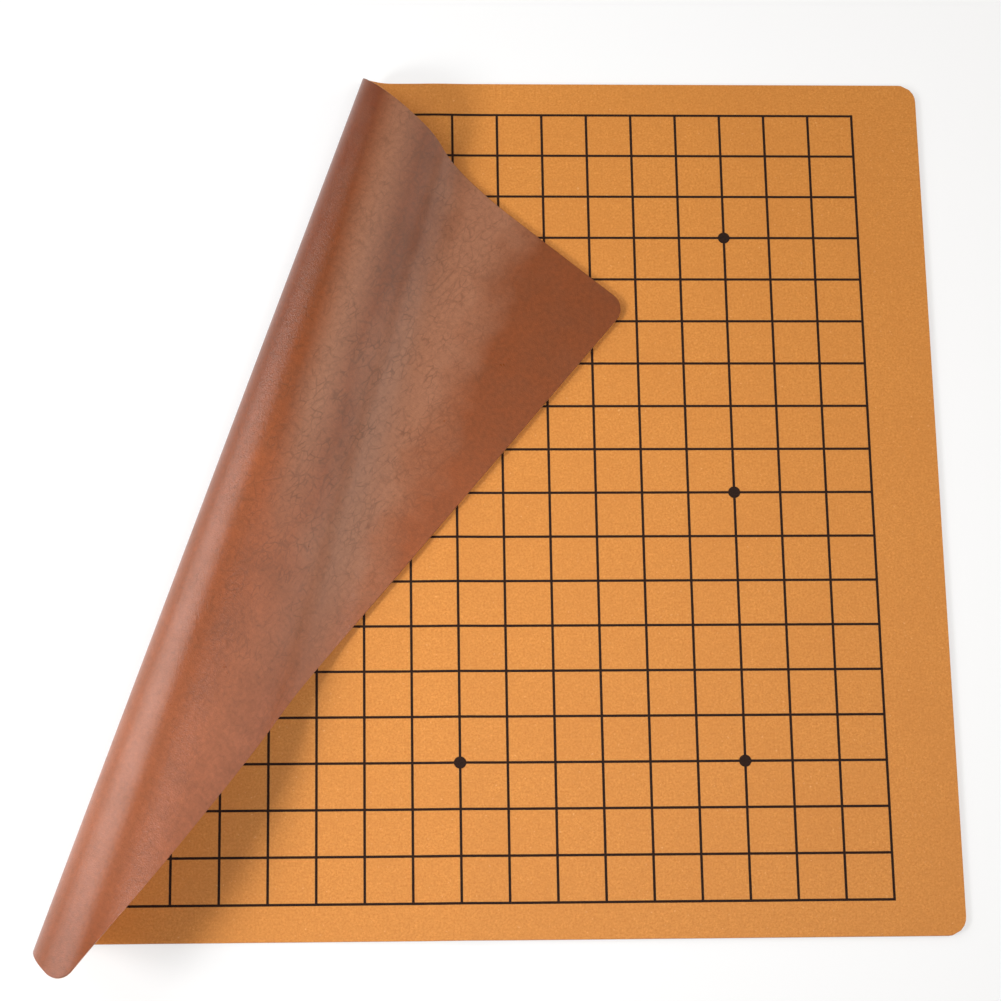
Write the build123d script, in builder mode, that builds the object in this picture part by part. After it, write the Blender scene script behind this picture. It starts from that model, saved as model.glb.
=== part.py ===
from build123d import *
import math
import os

# Folding go mat: a soft sheet of two bonded plies, a suede playing face over a leather back,
# with the playing grid printed on the suede. The left side is folded over the board in a
# roll that is tighter at the far edge, and the flap lies on the playing face.
#
# The folded sheet is a developable surface. All its bend lines, drawn on the flat sheet, meet at
# one point beyond the far edge, so each panel between two bend lines stays flat and the mat opens
# out into one plane. The bends of the roll hinge on the suede, the inner side there, and the last
# two bends, where the flap lands, turn the other way and hinge on the leather.
#
# Frame: +Z up, +X to the right along the mat's near edge, +Y away from the player.
# Origin: the centre of the open mat, on the leather's underside.

# Mat: the margins are taken from the outer grid lines to the edge
margin_x = 33.9
margin_y = 17.5
corner_radius = 9.0
leather_thickness = 1.0
suede_thickness = 0.8

# Printed grid
grid_lines = 19
pitch_x = 22.9
pitch_y = 22.5
line_width = 1.25
star_diameter = 6.0
star_inset = 3
ink_thickness = 0.08

# Fold: where its first bend line leaves the far edge, from the left edge, how far that line leans
# from +Y, and how far beyond the edge the bend lines meet. Strip widths are taken at the far edge.
fold_inset = 205.35
fold_lean = 18.45
fold_reach = 737.0
full_bend = 38.1
bend_shares = (1, 1, 1, 1, 1, 0.5, 0.5)
strip_widths = (8.05, 7.7, 8.8, 11.5, 13.1, 16.4)
landing_width = 11.4

# Clearances: between panels at a bend line, and between the flap and the board's suede
bend_gap = 0.16
flap_gap = 0.6

# Derived sizes
mat_thickness = leather_thickness + suede_thickness
grid_width = (grid_lines - 1) * pitch_x
grid_depth = (grid_lines - 1) * pitch_y
mat_width = grid_width + 2 * margin_x
mat_depth = grid_depth + 2 * margin_y
star_lines = (star_inset, (grid_lines - 1) // 2, grid_lines - 1 - star_inset)
star_spots = [
    (column * pitch_x - grid_width / 2, row * pitch_y - grid_depth / 2)
    for column in star_lines
    for row in star_lines
]
span = 4 * (fold_reach + mat_width + mat_depth)

os.makedirs("parts", exist_ok=True)

# The board's own frame of the fold: X up the first bend line, Y towards the flap
lean = math.radians(fold_lean)
up_fold = Vector(math.sin(lean), math.cos(lean), 0)
fold_foot = Vector(fold_inset - mat_width / 2, mat_depth / 2, mat_thickness)
apex = fold_foot + up_fold * fold_reach
board_plane = Plane(origin=apex, x_dir=up_fold, z_dir=(0, 0, 1))
mat_centre = board_plane.to_local_coords(Vector(0, 0, mat_thickness))

# The roll: each strip turns up by a bend from the strip before it
bends = [Location((0, 0, 0), (full_bend * share, 0, 0)) for share in bend_shares]
strip_angles = [math.degrees(width / fold_reach) for width in strip_widths]
strip_places = [board_plane.location * bends[0]]
strip_turns = [0.0]
for angle, bend in zip(strip_angles, bends[1:]):
    strip_places.append(strip_places[-1] * Location((0, 0, 0), (0, 0, -angle)) * bend)
    strip_turns.append(strip_turns[-1] + angle)
strip_planes = [Plane(place) for place in strip_places]

# The landing: the planes of the slope's leather and the flap's leather meet in a line, and a last
# strip cuts that corner, from half its width before the line to half its width past it
slope_plane = strip_planes[-1]
leather_apex = apex - slope_plane.z_dir * mat_thickness
rise = 2 * mat_thickness + flap_gap - leather_apex.Z
tilt = math.asin(rise / fold_reach)
flap_normal = up_fold * -math.sin(tilt) + Vector(0, 0, -math.cos(tilt))
corner_line = slope_plane.z_dir.cross(flap_normal).normalized()
if corner_line.dot(up_fold) < 0:
    corner_line = corner_line * -1
half_landing = math.degrees(landing_width / 2 / fold_reach)
slope_end = corner_line.rotate(Axis((0, 0, 0), slope_plane.z_dir), half_landing)
flap_start = corner_line.rotate(Axis((0, 0, 0), flap_normal), -half_landing)
landing_normal = flap_start.cross(slope_end).normalized()
slope_angle = -math.degrees(math.atan2(slope_end.dot(slope_plane.y_dir), slope_end.dot(slope_plane.x_dir)))
landing_angle = math.degrees(math.acos(slope_end.dot(flap_start)))
landing_origin = leather_apex + landing_normal * mat_thickness
landing_plane = Plane(origin=landing_origin, x_dir=slope_end, z_dir=landing_normal)
flap_plane = Plane(origin=leather_apex + flap_normal * mat_thickness, x_dir=flap_start, z_dir=flap_normal)
strip_planes.append(landing_plane)
strip_angles.extend([slope_angle, landing_angle])
strip_turns.append(strip_turns[-1] + slope_angle)
flap_turn = strip_turns[-1] + landing_angle

# Panels: name, plane on the suede, turn of the sheet in that plane, angles of its two bend lines
panels = [("board", board_plane, 0.0, None, 0.0)]
for number, (plane, turn, angle) in enumerate(zip(strip_planes, strip_turns, strip_angles), start=1):
    panels.append((f"fold_{number}", plane, turn, 0.0, angle))
panels.append(("flap", flap_plane, flap_turn, 0.0, None))


def sheet_location(turn):
    """Where the open sheet's centre and axes lie in a panel's plane."""
    place = Location((0, 0, 0), (0, 0, turn)) * Location((mat_centre.X, mat_centre.Y, 0))
    return place * Location((0, 0, 0), (0, 0, fold_lean - 90))


def trim_at_bends(first_bend, last_bend):
    """Cuts the sketch at the panel's bend lines, half a gap short of each."""
    if first_bend is not None:
        line = Location((0, 0, 0), (0, 0, -first_bend)) * Location((0, bend_gap / 2, 0))
        with Locations(line):
            Rectangle(span, span, align=(Align.CENTER, Align.MIN), mode=Mode.INTERSECT)
    if last_bend is not None:
        line = Location((0, 0, 0), (0, 0, -last_bend)) * Location((0, -bend_gap / 2, 0))
        with Locations(line):
            Rectangle(span, span, align=(Align.CENTER, Align.MAX), mode=Mode.INTERSECT)


# The print as it lies on the open sheet: crossing lines and nine star points
with BuildSketch() as printed_grid:
    with GridLocations(pitch_x, pitch_y, grid_lines, 1):
        Rectangle(line_width, grid_depth + line_width)
    with GridLocations(pitch_x, pitch_y, 1, grid_lines):
        Rectangle(grid_width + line_width, line_width)
    with Locations(*star_spots):
        Circle(star_diameter / 2)

for name, plane, turn, first_bend, last_bend in panels:
    with BuildPart() as suede:
        with BuildSketch(plane):
            with Locations(sheet_location(turn)):
                RectangleRounded(mat_width, mat_depth, corner_radius)
            trim_at_bends(first_bend, last_bend)
        extrude(amount=-suede_thickness)
    suede.part.label = f"{name}_suede"
    export_step(suede.part, f"parts/{name}_suede.step")

    with BuildPart() as leather:
        with BuildSketch(plane.offset(-suede_thickness)):
            with Locations(sheet_location(turn)):
                RectangleRounded(mat_width, mat_depth, corner_radius)
            trim_at_bends(first_bend, last_bend)
        extrude(amount=-leather_thickness)
    leather.part.label = f"{name}_leather"
    export_step(leather.part, f"parts/{name}_leather.step")

    with BuildPart() as ink:
        with BuildSketch(plane):
            with Locations(sheet_location(turn)):
                RectangleRounded(mat_width, mat_depth, corner_radius)
            trim_at_bends(first_bend, last_bend)
            with Locations(sheet_location(turn)):
                add(printed_grid.sketch, mode=Mode.INTERSECT)
        extrude(amount=ink_thickness)
    ink.part.label = f"{name}_print"
    export_step(ink.part, f"parts/{name}_print.step")
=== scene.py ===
"""Looks of a soft folding go mat: suede playing face, printed grid and leather back."""

import math

import bmesh
import bpy
import numpy as np
from mathutils import Euler, Matrix, Vector


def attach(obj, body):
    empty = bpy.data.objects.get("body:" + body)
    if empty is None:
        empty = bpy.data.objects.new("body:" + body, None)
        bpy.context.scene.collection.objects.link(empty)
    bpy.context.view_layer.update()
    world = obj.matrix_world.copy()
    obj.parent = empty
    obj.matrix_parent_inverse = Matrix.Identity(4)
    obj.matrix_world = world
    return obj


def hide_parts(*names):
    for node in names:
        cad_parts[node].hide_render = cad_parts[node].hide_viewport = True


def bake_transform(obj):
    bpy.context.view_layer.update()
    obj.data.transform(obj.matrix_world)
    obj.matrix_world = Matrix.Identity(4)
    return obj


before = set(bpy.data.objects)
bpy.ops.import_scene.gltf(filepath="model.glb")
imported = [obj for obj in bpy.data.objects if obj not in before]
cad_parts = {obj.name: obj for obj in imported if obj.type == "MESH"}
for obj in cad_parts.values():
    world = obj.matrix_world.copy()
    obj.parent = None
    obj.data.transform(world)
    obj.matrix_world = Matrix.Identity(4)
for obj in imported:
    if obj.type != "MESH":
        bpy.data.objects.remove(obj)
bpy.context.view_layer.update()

# Sizes of the mat and its fold in millimetres, as in the part's source
LEATHER = 1.0
SUEDE = 0.8
THICK = LEATHER + SUEDE
GRID_LINES = 19
PITCH_X = 22.9
PITCH_Y = 22.5
LINE_WIDTH = 1.25
STAR_DIAMETER = 6.0
STAR_INSET = 3
MARGIN_X = 33.9
MARGIN_Y = 17.5
CORNER = 9.0
GRID_WIDTH = (GRID_LINES - 1) * PITCH_X
GRID_DEPTH = (GRID_LINES - 1) * PITCH_Y
WIDTH = GRID_WIDTH + 2 * MARGIN_X
DEPTH = GRID_DEPTH + 2 * MARGIN_Y
FOLD_INSET = 205.35
FOLD_LEAN = math.radians(18.45)
FOLD_REACH = 737.0
FULL_BEND = math.radians(38.1)
BEND_SHARES = (1, 1, 1, 1, 1, 0.5, 0.5)
STRIP_WIDTHS = (8.05, 7.7, 8.8, 11.5, 13.1, 16.4)
LANDING_WIDTH = 11.4
FLAP_GAP = 0.6

# Sizes that only the looks need, in millimetres: the rounding of the cut edges, how far the last bend
# reaches into the flap, and the ink's height above the suede
EDGE_ROUND = 0.25
FLAP_REACH = 13.0
INK_LIFT = 0.05

# How near a bend comes to the shape that opens quite flat, from 0, the softest curve, to 1
FLATNESS_ROLL = 0.06
FLATNESS_LANDING = 0.25

# A bend's turning zone is as wide as its strip this far beyond the far edge, and lies this far inside it
ZONE_BEYOND = 40.0
ZONE_INSIDE = 200.0

# The folded side has slid along the fold, from the first seam to the seam with this number. Its near tip
# and, from another seam on, its far edge are drawn out.
SLIDE = 4.0
SLIDE_SEAM = 6
TIP_STRETCH = 3.5
TIP_REACH = 110.0
EDGE_STRETCH = 3.0
EDGE_REACH = 70.0
EDGE_SEAM = 4

# A low ridge across the middle of the board, left by an earlier fold; its fade is an angle at the apex
RIDGE_X = -4.0
RIDGE_LEAN = 0.035
RIDGE_HEIGHT = 0.55
RIDGE_WIDTH = 13.0
RIDGE_FADE = 0.04

# Counts of mesh rows and columns, and the share of the board's rows that is evenly spaced
BOARD_ROWS = 150
BOARD_COLUMNS = 130
EVEN_SHARE = 0.75
FOLD_ROWS = 120
BEND_COLUMNS = 18
FLAP_COLUMNS = 90
STAR_SIDES = 40
PRINT_STEP = 5.0

# Search for the outline along a line through the apex: distances in millimetres, tries and halvings
SPAN_TRIES = np.linspace(500, 1400, 1801)
SPAN_HALVINGS = 40
AREA_STEPS = 400

# Small clearances: an angle at the apex, and the tolerance of a cut
PHI_CLEAR = 2e-5
CUT_CLEAR = 1e-6
MM = 0.001

Z_UP = np.array([0.0, 0.0, 1.0])


def turn(axis, angle):
    """A turn about a frame's own axis, as a 3 by 3 array."""
    return np.array(Matrix.Rotation(angle, 3, axis))


# The fold: flat panels whose bend lines meet at the apex
up_fold = np.array([math.sin(FOLD_LEAN), math.cos(FOLD_LEAN), 0.0])
across = np.array([-math.cos(FOLD_LEAN), math.sin(FOLD_LEAN), 0.0])
apex = np.array([FOLD_INSET - WIDTH / 2, DEPTH / 2, THICK]) + up_fold * FOLD_REACH
strip_angles = [width / FOLD_REACH for width in STRIP_WIDTHS]
panel_frames = [np.stack([up_fold, across, Z_UP], axis=1)]
panel_turns = [0.0]
panel_frames.append(panel_frames[0] @ turn("X", FULL_BEND * BEND_SHARES[0]))
panel_turns.append(0.0)
for angle, share in zip(strip_angles, BEND_SHARES[1:]):
    panel_frames.append(panel_frames[-1] @ turn("Z", -angle) @ turn("X", FULL_BEND * share))
    panel_turns.append(panel_turns[-1] + angle)
panel_origins = [apex for _ in panel_frames]
ROLL_BENDS = len(BEND_SHARES)

# The landing: a strip that cuts the corner where the slope's leather meets the plane of the flap's
slope = panel_frames[-1]
leather_apex = apex - slope[:, 2] * THICK
tilt = math.asin((2 * THICK + FLAP_GAP - leather_apex[2]) / FOLD_REACH)
flap_normal = -up_fold * math.sin(tilt) - Z_UP * math.cos(tilt)
corner_line = np.cross(slope[:, 2], flap_normal)
corner_line = corner_line / np.linalg.norm(corner_line)
if corner_line @ up_fold < 0:
    corner_line = -corner_line
half_landing = LANDING_WIDTH / 2 / FOLD_REACH
slope_end = turn(Vector(slope[:, 2]), half_landing) @ corner_line
flap_start = turn(Vector(flap_normal), -half_landing) @ corner_line
landing_normal = np.cross(flap_start, slope_end)
landing_normal = landing_normal / np.linalg.norm(landing_normal)
strip_angles.append(-math.atan2(slope_end @ slope[:, 1], slope_end @ slope[:, 0]))
strip_angles.append(math.acos(slope_end @ flap_start))
for line, normal in ((slope_end, landing_normal), (flap_start, flap_normal)):
    panel_frames.append(np.stack([line, np.cross(normal, line), normal], axis=1))
    panel_turns.append(panel_turns[-1] + strip_angles[len(panel_turns) - 2])
    panel_origins.append(leather_apex + normal * THICK)
BEND_COUNT = len(strip_angles)
FLAP = BEND_COUNT + 1

# The lines on the flat sheet, as angles at the apex, where one visual piece ends and the next starts
first_seam = -strip_angles[0] / 2
seams = [first_seam] + [panel_turns[k + 1] + strip_angles[k] / 2 for k in range(BEND_COUNT)]
seams.append(panel_turns[FLAP] + FLAP_REACH / FOLD_REACH)


def panel_point(panel, phi, rho, depth):
    """A point of the sheet in a panel's plane: angle and distance from the apex, depth under the suede."""
    psi = phi - panel_turns[panel]
    local = np.stack([-rho * np.cos(psi), rho * np.sin(psi), -depth + 0 * rho], axis=-1)
    return panel_origins[panel] + local @ panel_frames[panel].T


def bend_share(bend, phi):
    """How far along a bend's curve the flat angle phi lies, from 0 to 1."""
    start = seams[bend - 1]
    middle = panel_turns[bend]
    end = seams[bend]
    square = start - 2 * middle + end
    slope_term = 2 * (middle - start)
    rise = phi - start
    if abs(square) < 1e-9:
        return np.clip(rise / slope_term, 0, 1)
    root = np.sqrt(np.maximum(slope_term**2 + 4 * square * rise, 0))
    return np.clip((root - slope_term) / (2 * square), 0, 1)


def bend_zone(bend):
    """Start and end of a bend's turning zone, across its bend line, narrow enough for its far end."""
    near_far_edge = FOLD_REACH - ZONE_BEYOND
    rho = np.array([FOLD_REACH + ZONE_INSIDE])
    here = np.array([panel_turns[bend]])
    middle = panel_point(bend, here, rho, np.array([THICK / 2]))[0]
    back = (panel_turns[bend] - seams[bend - 1]) * near_far_edge
    ahead = (seams[bend] - panel_turns[bend]) * near_far_edge
    sideways = panel_frames[bend - 1] @ turn("Z", panel_turns[bend - 1] - panel_turns[bend])
    towards = sideways[:, 1] + panel_frames[bend][:, 1]
    half_turn = np.linalg.norm(towards) / 2
    towards = towards / np.linalg.norm(towards)
    start = middle - towards * back * half_turn
    end = middle + towards * ahead * half_turn
    return start, end


def smooth_step(x):
    x = np.clip(x, 0, 1)
    return x * x * (3 - 2 * x)


def slide(phi, rho):
    """How far the folded side has slid along the fold, with its near tip and far edge drawn out."""
    past = smooth_step((phi - seams[0]) / (seams[SLIDE_SEAM] - seams[0]))
    tip_rho = FOLD_REACH + DEPTH / math.cos(FOLD_LEAN)
    tip = smooth_step((rho - tip_rho + TIP_REACH) / TIP_REACH)
    far_rho = FOLD_REACH * up_fold[1] / (np.cos(phi) * up_fold[1] - np.sin(phi) * across[1])
    far = 1 - smooth_step((rho - far_rho) / EDGE_REACH)
    start = seams[EDGE_SEAM]
    end = seams[-1] + FLAP_REACH / FOLD_REACH
    arch = np.sin(math.pi * np.clip((phi - start) / (end - start), 0, 1)) ** 2
    shift = past * (SLIDE + TIP_STRETCH * tip) - EDGE_STRETCH * far * arch
    return shift[..., None] * -up_fold


def about_line(points, origin, axis, angles):
    """Points turned about a line, each by its own angle."""
    arm = points - origin
    cosine = np.cos(angles)[..., None]
    sine = np.sin(angles)[..., None]
    along = (arm @ axis)[..., None] * axis
    return origin + arm * cosine + np.cross(axis, arm) * sine + along * (1 - cosine)


def bend_point(bend, phi, rho, depth):
    """A point of the smooth bend between two panels, tangent to both at its seams."""
    t = bend_share(bend, phi)[..., None]
    hinge_depth = THICK if bend > ROLL_BENDS else 0.0
    normal_a = panel_frames[bend - 1][:, 2]
    normal_b = panel_frames[bend][:, 2]
    fold = (normal_a + normal_b) / (1 + normal_a @ normal_b)
    start = panel_point(bend - 1, seams[bend - 1] + 0 * phi, rho, depth)
    end = panel_point(bend, seams[bend] + 0 * phi, rho, depth)
    corner = panel_point(bend, panel_turns[bend] + 0 * phi, rho, hinge_depth + 0 * rho)
    corner = corner + fold * (hinge_depth - depth + 0 * rho)[..., None]
    soft = (1 - t) ** 2 * start + 2 * t * (1 - t) * corner + t**2 * end
    line = panel_frames[bend][:, 0]
    pivot = panel_origins[bend] - panel_frames[bend][:, 2] * hinge_depth
    full_turn = math.atan2(np.cross(normal_a, normal_b) @ line, normal_a @ normal_b)
    level = panel_point(bend - 1, phi, rho, depth)
    zone_start, zone_end = bend_zone(bend)
    zone = zone_end - zone_start
    share = FLATNESS_LANDING if bend > ROLL_BENDS else FLATNESS_ROLL
    point = soft
    for _ in range(3):
        x = np.clip(((point - zone_start) @ zone) / (zone @ zone), 0, 1)
        tight = about_line(level, pivot, line, smooth_step(x) * full_turn)
        point = soft * (1 - share) + tight * share
    return point + slide(phi, rho)


def flat_direction(phi):
    """Direction on the flat sheet from the apex along the line at angle phi."""
    phi = np.asarray(phi, float)[..., None]
    return -np.cos(phi) * up_fold[:2] + np.sin(phi) * across[:2]


def to_flat(phi, rho):
    return apex[:2] + rho[..., None] * flat_direction(phi)


def to_polar(flat):
    """Angle and distance from the apex of points on the flat sheet."""
    away = flat - apex[:2]
    along = -away @ up_fold[:2]
    side = away @ across[:2]
    return np.arctan2(side, along), np.hypot(along, side)


def outside(flat):
    """Signed distance from the mat's rounded outline on the flat sheet."""
    reach = np.abs(flat) - np.array([WIDTH / 2 - CORNER, DEPTH / 2 - CORNER])
    beyond = np.hypot(np.maximum(reach[..., 0], 0), np.maximum(reach[..., 1], 0))
    return beyond + np.minimum(np.maximum(reach[..., 0], reach[..., 1]), 0) - CORNER


def outline_span(phi):
    """Where the line at each angle phi enters and leaves the mat's outline."""
    points = apex[:2] + SPAN_TRIES[None, :, None] * flat_direction(phi)[:, None, :]
    middle = SPAN_TRIES[np.argmin(outside(points), axis=1)]
    ends = []
    for far in (SPAN_TRIES[0], SPAN_TRIES[-1]):
        inner = middle.copy()
        outer = np.full_like(middle, far)
        for _ in range(SPAN_HALVINGS):
            guess = (inner + outer) / 2
            inside = outside(to_flat(phi, guess)) < 0
            inner = np.where(inside, guess, inner)
            outer = np.where(inside, outer, guess)
        ends.append(inner)
    return ends


# Depths under the suede's face at which a ply's cut edge starts, its rounding starts and its face lies
PLIES = {"suede": (SUEDE, EDGE_ROUND, 0.0), "leather": (SUEDE, THICK - EDGE_ROUND, THICK)}


def new_object(name, data):
    thing = bpy.data.objects.new(name, data)
    bpy.context.scene.collection.objects.link(thing)
    return thing


def keep_flat(mesh, flat):
    """Keeps the flat sheet's coordinates on a mesh, in metres, for its material."""
    spots = np.zeros((len(mesh.vertices), 3), np.float32)
    spots[:, :2] = flat.reshape(-1, 2) * MM
    kept = mesh.attributes.new("flat", "FLOAT_VECTOR", "POINT")
    kept.data.foreach_set("vector", spots.reshape(-1))


def grid_piece(name, points, flat, face_normals, face_mask):
    """A mesh of one ply: its face and its cut edges, with the flat sheet's coordinates kept."""
    rows, columns = points.shape[:2]
    index = np.arange(rows * columns).reshape(rows, columns)
    quads = np.stack([index[:-1, :-1], index[1:, :-1], index[1:, 1:], index[:-1, 1:]], axis=-1)
    quads = quads.reshape(-1, 4)
    corners = points.reshape(-1, 3)[quads]
    facing = np.cross(corners[:, 1] - corners[:, 0], corners[:, 3] - corners[:, 0])
    middle = (rows // 2) * (columns - 1) + columns // 2
    outward = face_normals.reshape(-1, 3)[quads[middle, 0]]
    if facing[middle] @ outward < 0:
        quads = quads[:, ::-1]
    mesh = bpy.data.meshes.new(name)
    mesh.from_pydata((points.reshape(-1, 3) * MM).tolist(), [], quads.tolist())
    mesh.update()
    mesh.shade_smooth()
    keep_flat(mesh, flat)
    normals = np.zeros((rows * columns, 3), np.float32)
    mesh.vertices.foreach_get("normal", normals.reshape(-1))
    normals = np.where(face_mask.reshape(-1, 1), face_normals.reshape(-1, 3), normals)
    mesh.normals_split_custom_set_from_vertices(normals.tolist())
    return new_object(name, mesh)


def along_rows(inner, outer):
    """Rows along each line, with a rounded cut edge at both ends: positions and edge steps."""
    steps = np.linspace(0, 1, FOLD_ROWS)
    body = (inner + EDGE_ROUND)[:, None] * (1 - steps) + (outer - EDGE_ROUND)[:, None] * steps
    rows = np.concatenate([inner[:, None]] * 2 + [body] + [outer[:, None]] * 2, axis=1)
    edge = np.array([0, 1] + [2] * FOLD_ROWS + [1, 0])
    return rows, edge


def sheet_normals(place, phi, rho, depth, outward):
    """Normals of the smooth surface, from its own slopes."""
    step_phi = 1e-5
    step_rho = 0.5
    across_fold = place(phi + step_phi, rho, depth) - place(phi - step_phi, rho, depth)
    along_fold = place(phi, rho + step_rho, depth) - place(phi, rho - step_rho, depth)
    normal = np.cross(along_fold, across_fold)
    normal = normal / np.maximum(np.linalg.norm(normal, axis=-1, keepdims=True), 1e-12)
    middle = normal.reshape(-1, 3)[normal.size // 6]
    return normal if middle @ outward > 0 else -normal


def polar_piece(name, place, phis, ply, outward):
    """One ply of a bend or of the flap, on lines through the apex."""
    inner, outer = outline_span(phis)
    rho, edge = along_rows(inner, outer)
    phi = np.broadcast_to(phis[:, None], rho.shape)
    depth = np.broadcast_to(np.array(PLIES[ply])[edge][None, :], rho.shape)
    points = place(phi, rho, depth)
    inside_phi = np.clip(phi, phis[0] + PHI_CLEAR, phis[-1] - PHI_CLEAR)
    normals = sheet_normals(place, inside_phi, rho, depth, outward)
    mask = np.broadcast_to((edge == 2)[None, :], rho.shape)
    return grid_piece(name, points, to_flat(phi, rho), normals, mask)


def board_relief(flat):
    """Height of the low ridge at points of the flat sheet, none at the fold."""
    phi, _ = to_polar(flat)
    share = smooth_step((first_seam - phi) / RIDGE_FADE)
    ridge = flat[..., 0] - RIDGE_X + RIDGE_LEAN * flat[..., 1]
    lift = RIDGE_HEIGHT * np.exp(-((ridge / RIDGE_WIDTH) ** 2))
    return share * lift


def board_place(flat, depth):
    lift = THICK + board_relief(flat) - depth
    return np.concatenate([flat, lift[..., None]], axis=-1)


def board_piece(name, ply):
    """One ply of the board: rows from the fold's first seam to the right edge."""
    crowded = np.sin(np.linspace(-math.pi / 2, math.pi / 2, BOARD_ROWS))
    even = np.linspace(-1, 1, BOARD_ROWS)
    body_y = (EVEN_SHARE * even + (1 - EVEN_SHARE) * crowded) * (DEPTH / 2 - EDGE_ROUND)
    ys = np.concatenate([[-DEPTH / 2] * 2, body_y, [DEPTH / 2] * 2])
    edge_y = np.array([0, 1] + [2] * BOARD_ROWS + [1, 0])
    direction = flat_direction(first_seam)
    left = apex[0] + (ys - apex[1]) / direction[1] * direction[0]
    past = np.maximum(np.abs(ys) - (DEPTH / 2 - CORNER), 0)
    right = WIDTH / 2 - CORNER + np.sqrt(np.maximum(CORNER**2 - past**2, 0))
    steps = np.linspace(0, 1, BOARD_COLUMNS)
    body_x = left[:, None] * (1 - steps) + (right - EDGE_ROUND)[:, None] * steps
    xs = np.concatenate([body_x, right[:, None], right[:, None]], axis=1)
    edge_x = np.array([2] * BOARD_COLUMNS + [1, 0])
    edge = np.minimum(edge_y[:, None], edge_x[None, :])
    flat = np.stack([xs, np.broadcast_to(ys[:, None], xs.shape)], axis=-1)
    depth = np.array(PLIES[ply])[edge]
    points = board_place(flat, depth)
    step = 0.5
    slope_x = board_relief(flat + [step, 0]) - board_relief(flat - [step, 0])
    slope_y = board_relief(flat + [0, step]) - board_relief(flat - [0, step])
    normals = np.stack([-slope_x, -slope_y, np.full_like(slope_x, 2 * step)], axis=-1)
    normals = normals / np.linalg.norm(normals, axis=-1, keepdims=True)
    if ply == "leather":
        normals = -normals
    return grid_piece(name, points, flat, normals, edge == 2)


def flap_place(phi, rho, depth):
    return panel_point(FLAP, phi, rho, depth) + slide(phi, rho)


def bend_placer(bend):
    def place(phi, rho, depth):
        return bend_point(bend, phi, rho, depth)

    return place


def flat_print():
    """The printed grid on the flat sheet: crossing lines and nine star points, as one thin film."""
    bm = bmesh.new()

    def quad(low_x, low_y, high_x, high_y, height):
        spots = ((low_x, low_y), (high_x, low_y), (high_x, high_y), (low_x, high_y))
        bm.faces.new([bm.verts.new((x, y, height)) for x, y in spots])

    half = LINE_WIDTH / 2
    radius = STAR_DIAMETER / 2
    for line in range(GRID_LINES):
        x = line * PITCH_X - GRID_WIDTH / 2
        y = line * PITCH_Y - GRID_DEPTH / 2
        quad(x - half, -GRID_DEPTH / 2 - half, x + half, GRID_DEPTH / 2 + half, 0.0)
        quad(-GRID_WIDTH / 2 - half, y - half, GRID_WIDTH / 2 + half, y + half, INK_LIFT / 2)
    star_lines = (STAR_INSET, (GRID_LINES - 1) // 2, GRID_LINES - 1 - STAR_INSET)
    for column in star_lines:
        for row in star_lines:
            x = column * PITCH_X - GRID_WIDTH / 2
            y = row * PITCH_Y - GRID_DEPTH / 2
            ring = [2 * math.pi * k / STAR_SIDES for k in range(STAR_SIDES)]
            rim = [(x + radius * math.cos(a), y + radius * math.sin(a), INK_LIFT) for a in ring]
            bm.faces.new([bm.verts.new(spot) for spot in rim])
    return bm


def slice_print(bm, place, normal, clear_after=False, clear_before=False):
    """Cuts the flat print along a line, and may clear one side of it."""
    bmesh.ops.bisect_plane(
        bm,
        geom=bm.verts[:] + bm.edges[:] + bm.faces[:],
        dist=CUT_CLEAR,
        plane_co=place,
        plane_no=normal,
        clear_outer=clear_after,
        clear_inner=clear_before,
    )


def cut(bm, phi, **sides):
    """Cuts the flat print along the line at angle phi."""
    direction = flat_direction(phi)
    side = Vector((direction[1], -direction[0], 0))
    if side.dot(Vector((across[0], across[1], 0))) < 0:
        side = -side
    slice_print(bm, (apex[0], apex[1], 0), side, **sides)


def print_piece(name, place_flat, low, high, cuts):
    """The print between two lines through the apex, laid on the suede; the board's follows the ridge."""
    bm = flat_print()
    if low is not None:
        cut(bm, low, clear_before=True)
    if high is not None:
        cut(bm, high, clear_after=True)
    for phi in cuts:
        cut(bm, phi)
    if high == first_seam:
        for along in np.arange(-WIDTH / 2, WIDTH / 2, PRINT_STEP):
            for axis in ((1, 0, 0), (0, 1, 0)):
                slice_print(bm, (along, along, 0), axis)
    flat = np.array([vert.co[:] for vert in bm.verts])
    lift = INK_LIFT + flat[:, 2]
    points = place_flat(flat[:, :2], -lift)
    for vert, point in zip(bm.verts, points):
        vert.co = point * MM
    mesh = bpy.data.meshes.new(name)
    bm.to_mesh(mesh)
    bm.free()
    mesh.shade_smooth()
    keep_flat(mesh, flat[:, :2])
    return new_object(name, mesh)


def polar_print(place):
    def place_flat(flat, depth):
        phi, rho = to_polar(flat)
        return place(phi, rho, depth)

    return place_flat


def flat_area(phi_low, phi_high):
    """Flat area between two lines through the apex, in square metres."""
    phis = np.linspace(phi_low, phi_high, AREA_STEPS)
    inner, outer = outline_span(phis)
    slices = (outer**2 - inner**2) / 2
    return float(np.sum((slices[1:] + slices[:-1]) / 2) * (phis[1] - phis[0])) * MM * MM


def flat_size(phi_low, phi_high):
    """Width and length, along its first line, of the flat cut between two lines, in metres."""
    phis = np.linspace(phi_low, phi_high, AREA_STEPS)
    inner, outer = outline_span(phis)
    rho = np.concatenate([inner, outer])
    psi = np.concatenate([phis, phis]) - phi_low
    return float(np.ptp(rho * np.sin(psi))) * MM, float(np.ptp(rho * np.cos(psi))) * MM


# Materials, laid out on the flat sheet: distances across the fold are in units of a quarter metre
OVER_SCALE = 4.0


def nodes_of(name):
    material = bpy.data.materials.new(name)
    material.use_nodes = True
    tree = material.node_tree
    return material, tree, tree.nodes["Principled BSDF"]


def add(tree, kind, **settings):
    node = tree.nodes.new(kind)
    for key, value in settings.items():
        if key in node.inputs:
            node.inputs[key].default_value = value
        else:
            setattr(node, key, value)
    return node


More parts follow.
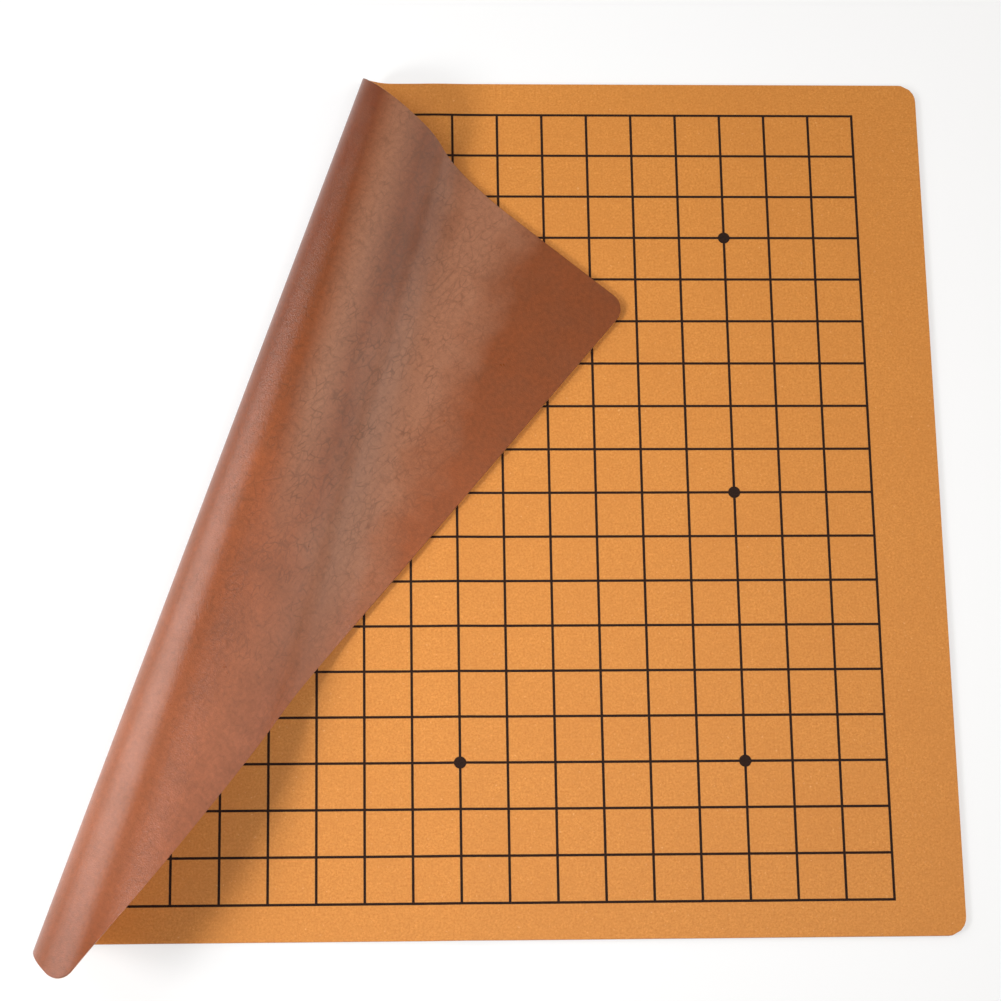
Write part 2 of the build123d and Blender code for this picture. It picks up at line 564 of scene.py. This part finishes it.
def noise(tree, where, scale, detail, roughness=0.5, output="Fac"):
    node = add(tree, "ShaderNodeTexNoise", Scale=scale, Detail=detail, Roughness=roughness)
    tree.links.new(where, node.inputs["Vector"])
    return node.outputs[output]


def cell_edges(tree, where, scale):
    """Distance from the borders of irregular cells."""
    node = add(tree, "ShaderNodeTexVoronoi", feature="DISTANCE_TO_EDGE", Scale=scale)
    tree.links.new(where, node.inputs["Vector"])
    return node.outputs["Distance"]


def ramp(tree, value, *stops):
    node = add(tree, "ShaderNodeValToRGB")
    elements = node.color_ramp.elements
    while len(elements) < len(stops):
        elements.new(0.5)
    for element, (position, colour) in zip(elements, stops):
        element.position = position
        element.color = (*colour, 1)
    tree.links.new(value, node.inputs["Fac"])
    return node.outputs["Color"]


def fade(tree, value, *stops):
    """A ramp of grey levels."""
    return ramp(tree, value, *[(position, (level, level, level)) for position, level in stops])


def mix(tree, share, first, second, blend_type="MIX"):
    node = add(tree, "ShaderNodeMix", data_type="RGBA", blend_type=blend_type)
    for value, socket in ((share, 0), (first, 6), (second, 7)):
        if isinstance(value, (int, float)):
            node.inputs[socket].default_value = value
        elif isinstance(value, tuple):
            node.inputs[socket].default_value = (*value, 1)
        else:
            tree.links.new(value, node.inputs[socket])
    return node.outputs[2]


def bump(tree, height, strength, distance, below=None):
    node = add(tree, "ShaderNodeBump", Strength=strength, Distance=distance)
    tree.links.new(height, node.inputs["Height"])
    if below is not None:
        tree.links.new(below, node.inputs["Normal"])
    return node.outputs["Normal"]


def flat_coordinates(tree):
    return add(tree, "ShaderNodeAttribute", attribute_name="flat").outputs["Vector"]


def along_flat(tree, where, direction):
    """Distance on the flat sheet along a direction, from the foot of the first bend line, in metres."""
    foot = (apex - up_fold * FOLD_REACH) * MM
    shifted = add(tree, "ShaderNodeVectorMath", operation="SUBTRACT")
    tree.links.new(where, shifted.inputs[0])
    shifted.inputs[1].default_value = (foot[0], foot[1], 0)
    dot = add(tree, "ShaderNodeVectorMath", operation="DOT_PRODUCT")
    tree.links.new(shifted.outputs["Vector"], dot.inputs[0])
    dot.inputs[1].default_value = tuple(direction)
    return dot.outputs["Value"]


def stretched(tree, where, angle, scale):
    """Flat coordinates turned and scaled, for marks that run one way."""
    node = add(tree, "ShaderNodeMapping", Rotation=(0, 0, angle), Scale=(*scale, 1))
    tree.links.new(where, node.inputs["Vector"])
    return node.outputs["Vector"]


def math_node(tree, operation, *values):
    node = add(tree, "ShaderNodeMath", operation=operation)
    for value, socket in zip(values, node.inputs):
        if isinstance(value, (int, float)):
            socket.default_value = value
        else:
            tree.links.new(value, socket)
    return node.outputs["Value"]


def suede_material():
    material, tree, shader = nodes_of("suede_face")
    where = flat_coordinates(tree)
    nap = noise(tree, where, scale=900, detail=4, roughness=0.75)
    tufts = noise(tree, where, scale=260, detail=4, roughness=0.65)
    blotch = noise(tree, where, scale=22, detail=5, roughness=0.6)
    colour = ramp(tree, nap, (0.32, (0.54, 0.168, 0.020)), (0.68, (0.76, 0.33, 0.068)))
    colour = mix(tree, fade(tree, tufts, (0.35, 0.0), (0.7, 0.5)), colour, (0.55, 0.20, 0.032))
    colour = mix(tree, fade(tree, blotch, (0.4, 0.0), (0.75, 0.35)), colour, (0.57, 0.205, 0.034))
    specks = fade(tree, noise(tree, where, scale=620, detail=2), (0.68, 0.0), (0.76, 0.35))
    colour = mix(tree, specks, colour, (0.92, 0.56, 0.24))
    tree.links.new(colour, shader.inputs["Base Color"])
    shader.inputs["Roughness"].default_value = 0.5
    shader.inputs["Specular IOR Level"].default_value = 0.42
    shader.inputs["Sheen Weight"].default_value = 0.08
    shader.inputs["Sheen Roughness"].default_value = 0.5
    shader.inputs["Sheen Tint"].default_value = (1.0, 0.75, 0.45, 1)
    pile = bump(tree, tufts, strength=0.5, distance=0.00025)
    pile = bump(tree, nap, strength=0.6, distance=0.00015, below=pile)
    tree.links.new(pile, shader.inputs["Normal"])
    return material


def leather_tone_and_painted_light(tree, where, along, over, mottle):
    """Brown dye with cloudy tone and spots, with painted light: painted shade makes it dark at the far end
    and along the roll, and a painted highlight makes it lighter towards the near tip.
    """
    cloud = noise(tree, where, scale=14, detail=4, roughness=0.55)
    dark = ramp(tree, cloud, (0.3, (0.172, 0.045, 0.0125)), (0.7, (0.225, 0.058, 0.016)))
    light = ramp(tree, cloud, (0.3, (0.36, 0.104, 0.040)), (0.7, (0.43, 0.130, 0.054)))
    # A band along the roll, built from the rising and falling ramps below, darkens both colours there:
    # painted shade.
    rising = fade(tree, over, (0.02, 0.0), (0.08, 0.85))
    far_end = fade(tree, over, (0.13, 0.85), (0.19, 0.0))
    near_end = fade(tree, over, (0.2, 0.85), (0.3, 0.0))
    falling = mix(tree, fade(tree, along, (0.22, 0.0), (0.3, 1.0)), far_end, near_end)
    roll = math_node(tree, "MINIMUM", rising, falling)
    dark = mix(tree, roll, dark, (0.135, 0.028, 0.006))
    light = mix(tree, roll, light, (0.27, 0.080, 0.032))
    # Lighter towards the near end: a painted highlight on the near half of the roll, dimmed again at the tip
    # as painted shade.
    near = fade(tree, along, (0.0, 0.0), (0.16, 0.2), (0.36, 1.0), (0.42, 0.95), (0.465, 0.55))
    colour = mix(tree, near, dark, light)
    spots = fade(tree, mottle, (0.42, 0.0), (0.75, 0.45))
    return mix(tree, spots, colour, (0.165, 0.052, 0.018))


def leather_wear_and_painted_reflection(tree, where, along, over):
    """Where the sheet has been bent most: a greyer zone with an uneven border and a band past the crest,
    partly worn leather and partly a painted reflection.
    """
    spread = noise(tree, where, scale=16, detail=4, roughness=0.6)
    drift = math_node(tree, "MULTIPLY_ADD", spread, 0.24, -0.12)
    uneven = math_node(tree, "ADD", over, drift)
    wear_and_reflection = fade(tree, uneven, (0.3, 0.0), (0.4, 0.9), (0.475, 0.9), (0.56, 0.0))
    crest = math_node(tree, "SUBTRACT", over, math_node(tree, "MULTIPLY", along, 0.4))
    band = fade(tree, crest, (0.132, 0.0), (0.17, 0.85), (0.19, 0.85), (0.243, 0.0))
    band = math_node(tree, "MULTIPLY", band, fade(tree, along, (0.18, 1.0), (0.26, 0.0)))
    wear_and_reflection = math_node(tree, "MAXIMUM", wear_and_reflection, band)
    return math_node(tree, "MULTIPLY", wear_and_reflection, fade(tree, along, (0.24, 1.0), (0.32, 0.0)))


def leather_creases(tree, where, along, over):
    """A net of thin lines, drawn out along the fold, where the sheet has been bent."""
    swayed = add(tree, "ShaderNodeVectorMath", operation="MULTIPLY_ADD")
    tree.links.new(noise(tree, where, scale=90, detail=3, output="Color"), swayed.inputs[0])
    swayed.inputs[1].default_value = (0.006, 0.006, 0)
    tree.links.new(where, swayed.inputs[2])
    drawn_out = stretched(tree, swayed.outputs["Vector"], FOLD_LEAN, (1.0, 0.45))
    creases = None
    for cells, width, share in ((140, 0.05, 0.75), (340, 0.1, 0.9)):
        lines = fade(tree, cell_edges(tree, drawn_out, cells), (0.0, share), (width, 0.0))
        spread = noise(tree, where, scale=cells / 3.5, detail=3, roughness=0.7)
        marks = math_node(tree, "MULTIPLY", lines, fade(tree, spread, (0.42, 0.0), (0.6, 1.0)))
        creases = marks if creases is None else math_node(tree, "MAXIMUM", creases, marks)
    bent = fade(tree, over, (0.04, 0.1), (0.18, 0.7), (0.3, 1.0), (0.46, 0.8), (0.62, 0.15))
    far = fade(tree, along, (0.0, 0.6), (0.18, 1.0), (0.34, 0.4), (0.45, 0.2))
    return math_node(tree, "MULTIPLY", math_node(tree, "MULTIPLY", creases, bent), far)


def leather_material():
    material, tree, shader = nodes_of("leather_back")
    where = flat_coordinates(tree)
    along = along_flat(tree, where, -up_fold)
    over = math_node(tree, "MULTIPLY", along_flat(tree, where, across), OVER_SCALE)
    mottle = noise(tree, where, scale=60, detail=5, roughness=0.7)
    creases = leather_creases(tree, where, along, over)
    colour = leather_tone_and_painted_light(tree, where, along, over, mottle)
    # Greyer, paler colour in that zone: partly worn leather, partly a painted reflection standing in for the
    # haze on the slope.
    colour = mix(tree, leather_wear_and_painted_reflection(tree, where, along, over), colour, (0.335, 0.145, 0.080))
    grit = noise(tree, where, scale=420, detail=5, roughness=0.8)
    colour = mix(tree, 0.5, colour, fade(tree, grit, (0.3, 0.3), (0.7, 0.7)), "OVERLAY")
    # The crease lines are also darkened in colour: painted shade in the wrinkles, on top of their dents in
    # the bump below.
    colour = mix(tree, math_node(tree, "MULTIPLY", creases, 0.7), colour, (0.10, 0.038, 0.017))
    tree.links.new(colour, shader.inputs["Base Color"])
    tree.links.new(fade(tree, mottle, (0.3, 0.27), (0.7, 0.37)), shader.inputs["Roughness"])
    shader.inputs["Specular IOR Level"].default_value = 0.45
    pebble = fade(tree, cell_edges(tree, where, 850), (0.0, 0.0), (0.25, 1.0))
    relief = bump(tree, pebble, strength=0.5, distance=0.00006)
    relief = bump(tree, mottle, strength=0.5, distance=0.00022, below=relief)
    dented = math_node(tree, "SUBTRACT", 1.0, creases)
    relief = bump(tree, dented, strength=0.5, distance=0.00012, below=relief)
    tree.links.new(relief, shader.inputs["Normal"])
    return material


def ink_material():
    material, tree, shader = nodes_of("printed_ink")
    where = flat_coordinates(tree)
    rubbed = noise(tree, where, scale=1300, detail=3, roughness=0.6)
    colour = ramp(tree, rubbed, (0.3, (0.014, 0.006, 0.004)), (0.75, (0.036, 0.016, 0.010)))
    tree.links.new(colour, shader.inputs["Base Color"])
    shader.inputs["Roughness"].default_value = 0.8
    shader.inputs["Specular IOR Level"].default_value = 0.15
    relief = bump(tree, rubbed, strength=0.3, distance=0.0003)
    tree.links.new(relief, shader.inputs["Normal"])
    return material


materials = {"suede": suede_material(), "leather": leather_material(), "print": ink_material()}


def dress(piece, kind):
    piece.data.materials.append(materials[kind])


# The pieces: the board, one soft bend for each bend line, and the flap
corner_flat = np.array([-(WIDTH / 2 - CORNER), DEPTH / 2 - CORNER])
corner_phi, corner_rho = to_polar(corner_flat)
last_phi = corner_phi + math.asin(CORNER / corner_rho) - PHI_CLEAR
even_steps = np.linspace(0, 1, FLAP_COLUMNS)
flap_steps = (even_steps + np.sin(even_steps * math.pi / 2)) / 2
flap_phis = seams[-1] + (last_phi - seams[-1]) * flap_steps

made = {}
for ply in ("suede", "leather"):
    made[ply, "board"] = board_piece(f"board_{ply}_sheet", ply)
    for bend in range(1, FLAP + 1):
        phis = np.linspace(seams[bend - 1], seams[bend], BEND_COLUMNS)
        side = panel_frames[bend][:, 2] * (1 if ply == "suede" else -1)
        made[ply, bend] = polar_piece(f"bend_{bend}_{ply}", bend_placer(bend), phis, ply, side)
    side = flap_normal * (1 if ply == "suede" else -1)
    made[ply, "flap"] = polar_piece(f"flap_{ply}_sheet", flap_place, flap_phis, ply, side)
made["print", "board"] = print_piece("board_print_film", board_place, None, first_seam, [])
for bend in range(1, FLAP + 1):
    inner_cuts = np.linspace(seams[bend - 1], seams[bend], BEND_COLUMNS)[1:-1]
    laid = polar_print(bend_placer(bend))
    made["print", bend] = print_piece(f"bend_{bend}_print", laid, seams[bend - 1], seams[bend], inner_cuts)
made["print", "flap"] = print_piece("flap_print_film", polar_print(flap_place), seams[-1], None, [])

for (kind, where), piece in made.items():
    dress(piece, kind)
    if where in ("board", "flap"):
        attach(piece, where)
        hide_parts(f"{where}_{kind}")
    else:
        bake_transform(piece)
        if where < FLAP:
            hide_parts(f"fold_{where}_{kind}")

board_area = (WIDTH * DEPTH - (4 - math.pi) * CORNER**2) * MM * MM - flat_area(first_seam, last_phi)
for ply in ("suede", "leather"):
    for bend in range(1, FLAP + 1):
        flat_size(seams[bend - 1], seams[bend])
        flat_area(seams[bend - 1], seams[bend])
    flat_size(seams[-1], last_phi)
    flat_area(seams[-1], last_phi)

# Stage: a pale floor just under the mat; where it is seen, it is mixed with plain white
FLOOR_REACH = 6.0
FLOOR_DROP = 0.0003
FLOOR_GLOW = 0.6
floor_corners = [(-1, -1), (1, -1), (1, 1), (-1, 1)]
floor_mesh = bpy.data.meshes.new("floor")
floor_mesh.from_pydata([(x * FLOOR_REACH, y * FLOOR_REACH, 0) for x, y in floor_corners], [], [(0, 1, 2, 3)])
floor = new_object("floor", floor_mesh)
floor.location.z = -FLOOR_DROP
floor_material, floor_tree, floor_shader = nodes_of("floor")
floor_shader.inputs["Base Color"].default_value = (0.93, 0.93, 0.93, 1)
floor_shader.inputs["Roughness"].default_value = 0.9
floor_shader.inputs["Specular IOR Level"].default_value = 0.1
rays = add(floor_tree, "ShaderNodeLightPath").outputs
seen = math_node(floor_tree, "MAXIMUM", rays["Is Camera Ray"], rays["Is Glossy Ray"])
seen = math_node(floor_tree, "MAXIMUM", seen, rays["Is Transmission Ray"])
white = add(floor_tree, "ShaderNodeEmission")
floor_mix = add(floor_tree, "ShaderNodeMixShader")
floor_tree.links.new(math_node(floor_tree, "MULTIPLY", seen, FLOOR_GLOW), floor_mix.inputs[0])
floor_tree.links.new(floor_shader.outputs["BSDF"], floor_mix.inputs[1])
floor_tree.links.new(white.outputs["Emission"], floor_mix.inputs[2])
floor_tree.links.new(floor_mix.outputs["Shader"], floor_tree.nodes["Material Output"].inputs["Surface"])
floor.data.materials.append(floor_material)


def lamp(name, kind, place, target, power, **settings):
    light = bpy.data.lights.new(name, kind)
    light.energy = power
    for key, value in settings.items():
        setattr(light, key, value)
    holder = new_object(name, light)
    holder.location = place
    holder.rotation_euler = (Vector(target) - Vector(place)).to_track_quat("-Z", "Y").to_euler()


# Light: a soft box and a small key lamp on the left, a warm wall on the right, a wide spot from above
MAT_CENTRE = (-0.02, 0, 0)
lamp("soft_box", "AREA", (-1.05, 0.5, 0.78), MAT_CENTRE, 11, shape="RECTANGLE", size=0.6, size_y=1.1)
lamp("key_light", "AREA", (-0.97, -0.38, 0.7), MAT_CENTRE, 10.5, shape="RECTANGLE", size=0.3, size_y=0.3)
lamp(
    "right_wall",
    "AREA",
    (1.25, 0.15, 0.8),
    (0, 0, 0.7),
    11,
    shape="RECTANGLE",
    size=1.1,
    size_y=1.9,
    color=(1.0, 0.9, 0.78),
)
lamp(
    "soft_spot",
    "SPOT",
    (0.35, -0.35, 1.5),
    (-0.05, -0.04, 0),
    37,
    spot_size=math.radians(33),
    spot_blend=1.0,
    shadow_soft_size=0.25,
)

# Surroundings: pale grey at the horizon, darker overhead
world = bpy.data.worlds.new("studio")
bpy.context.scene.world = world
world.use_nodes = True
world_tree = world.node_tree
background = world_tree.nodes["Background"]
direction = add(world_tree, "ShaderNodeTexCoord").outputs["Generated"]
parts = add(world_tree, "ShaderNodeSeparateXYZ")
world_tree.links.new(direction, parts.inputs[0])
sky = fade(world_tree, parts.outputs["Z"], (0.0, 0.5), (0.15, 0.28), (1.0, 0.12))
world_tree.links.new(sky, background.inputs["Color"])
background.inputs["Strength"].default_value = 1.0

# Camera at the photograph's viewing angle: its place, in metres, and its turn, in degrees, were fitted to
# the crossings of the grid
PHOTO_SIDE = 1001
FOCAL_PIXELS = 2858.25
CAMERA_PLACE = (-0.0449970, -0.4051389, 1.3502138)
CAMERA_TURN = (16.5962, -2.5474, -0.9307)
camera_data = bpy.data.cameras.new("camera")
camera_data.sensor_width = 36.0
camera_data.lens = FOCAL_PIXELS / PHOTO_SIDE * camera_data.sensor_width
camera_data.clip_end = 50
camera = new_object("camera", camera_data)
camera_turn = Euler([math.radians(angle) for angle in CAMERA_TURN])
camera.matrix_world = Matrix.LocRotScale(Vector(CAMERA_PLACE), camera_turn, None)
bpy.context.scene.camera = camera
bpy.context.scene.view_settings.view_transform = "Standard"
